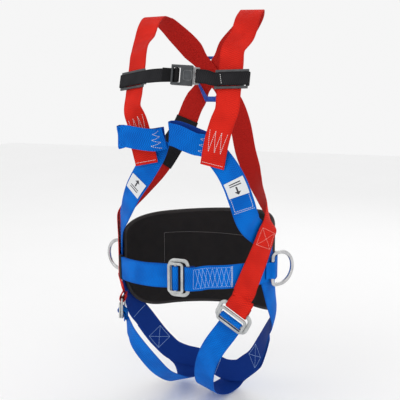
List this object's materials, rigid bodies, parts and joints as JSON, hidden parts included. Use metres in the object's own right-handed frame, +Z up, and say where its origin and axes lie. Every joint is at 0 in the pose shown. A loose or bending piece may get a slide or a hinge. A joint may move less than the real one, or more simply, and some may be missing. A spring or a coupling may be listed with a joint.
{
  "type": "safety harness",
  "caption": "Full-body fall-arrest harness in its worn shape, with padded waist belt, pass-through buckles, chest strap, wire rings and textile loops.",
  "frame": {"origin": "on the wearer's torso axis at belt height", "axes": "+Z up, the wearer's front faces -Y, +X is the wearer's left"},
  "size_m": [0.4108, 0.2633, 0.7883],
  "materials": {
    "red_webbing": "woven polyester",
    "blue_webbing": "woven polyester",
    "black_webbing": "woven polyester",
    "pad_mesh": "spacer mesh",
    "label_cloth": "printed cloth",
    "zinc_steel": "zinc plated satin",
    "bright_steel": "polished wire",
    "dark_plastic": "moulded",
    "blue_plastic": "moulded"
  },
  "bodies": {
    "harness": {"belt_buckle_ring": "zinc_steel", "belt_webbing": "blue_webbing", "dorsal_plate": "blue_plastic", "left_chest_loop": "blue_webbing", "left_label": "label_cloth", "left_ring_tab": "blue_webbing", "left_shoulder_strap": "red_webbing", "left_thigh_buckle_ring": "zinc_steel", "left_thigh_strap": "blue_webbing", "lumbar_pad": "pad_mesh", "right_chest_loop": "blue_webbing", "right_label": "label_cloth", "right_ring_tab": "blue_webbing", "right_shoulder_strap": "red_webbing", "right_thigh_buckle_ring": "zinc_steel", "right_thigh_strap": "blue_webbing", "seat_strap": "blue_webbing", "strap_sleeve": "black_webbing"},
    "chest_strap": {"left_strap_slider": "dark_plastic", "right_strap_slider": "dark_plastic", "left_chest_strap": "black_webbing", "right_chest_strap": "black_webbing", "chest_buckle_housing": "dark_plastic", "chest_buckle_latch": "dark_plastic"},
    "upper_latch_arm": {"chest_buckle_upper_arm": "dark_plastic"},
    "lower_latch_arm": {"chest_buckle_lower_arm": "dark_plastic"},
    "left_ring": {"left_side_ring": "bright_steel"},
    "right_ring": {"right_side_ring": "bright_steel"},
    "back_ring": {"dorsal_ring": "bright_steel"},
    "belt_frame": {"belt_buckle_frame": "zinc_steel"},
    "left_thigh_frame": {"left_thigh_buckle_frame": "zinc_steel"},
    "right_thigh_frame": {"right_thigh_buckle_frame": "zinc_steel"},
    "keeper": {"belt_keeper": "black_webbing"}
  },
  "joints": [
    {"name": "chest_strap_slide", "type": "slide", "parent": "harness", "child": "chest_strap", "axis": [0, 0.309, 0.9511], "range_m": [-0.01, 0.01]},
    {"name": "upper_arm_squeeze", "type": "hinge", "parent": "chest_strap", "child": "upper_latch_arm", "pos_m": [0.02448, -0.09971, 0.36438], "axis": [0.146, -0.9822, 0.1179], "range_deg": [0, 5], "stiffness_Nm_per_rad": 0.05},
    {"name": "lower_arm_squeeze", "type": "hinge", "parent": "chest_strap", "child": "lower_latch_arm", "pos_m": [0.02372, -0.10187, 0.34734], "axis": [-0.146, 0.9822, -0.1179], "range_deg": [0, 5], "stiffness_Nm_per_rad": 0.05},
    {"name": "left_ring_swing", "type": "hinge", "parent": "harness", "child": "left_ring", "pos_m": [0.16111, -0.03464, -0.00186], "axis": [0, 0, -1], "range_deg": [-8, 110]},
    {"name": "right_ring_swing", "type": "hinge", "parent": "harness", "child": "right_ring", "pos_m": [-0.16582, 0.01195, -0.01652], "axis": [0, 0, 1], "range_deg": [-70, 40]},
    {"name": "back_ring_swing", "type": "hinge", "parent": "harness", "child": "back_ring", "pos_m": [0, 0.0771, 0.362], "axis": [1, 0, 0], "range_deg": [-20, 40]},
    {"name": "belt_frame_tilt", "type": "hinge", "parent": "harness", "child": "belt_frame", "pos_m": [0.0008, -0.1262, -0.008], "axis": [0, 0, 1], "range_deg": [0, 9]},
    {"name": "left_thigh_frame_tilt", "type": "hinge", "parent": "harness", "child": "left_thigh_frame", "pos_m": [0.09975, -0.09989, -0.08584], "axis": [-0.8731, 0.1546, 0.4623], "range_deg": [0, 9]},
    {"name": "right_thigh_frame_tilt", "type": "hinge", "parent": "harness", "child": "right_thigh_frame", "pos_m": [-0.14573, -0.0566, -0.10811], "axis": [-0.3547, 0.9162, -0.1864], "range_deg": [0, 9]},
    {"name": "keeper_slide", "type": "slide", "parent": "harness", "child": "keeper", "axis": [0.658, -0.753, 0], "range_m": [0, 0.003]}
  ],
  "couplings": [
    {"joint": "lower_arm_squeeze", "follows": "upper_arm_squeeze", "ratio": 1}
  ]
}
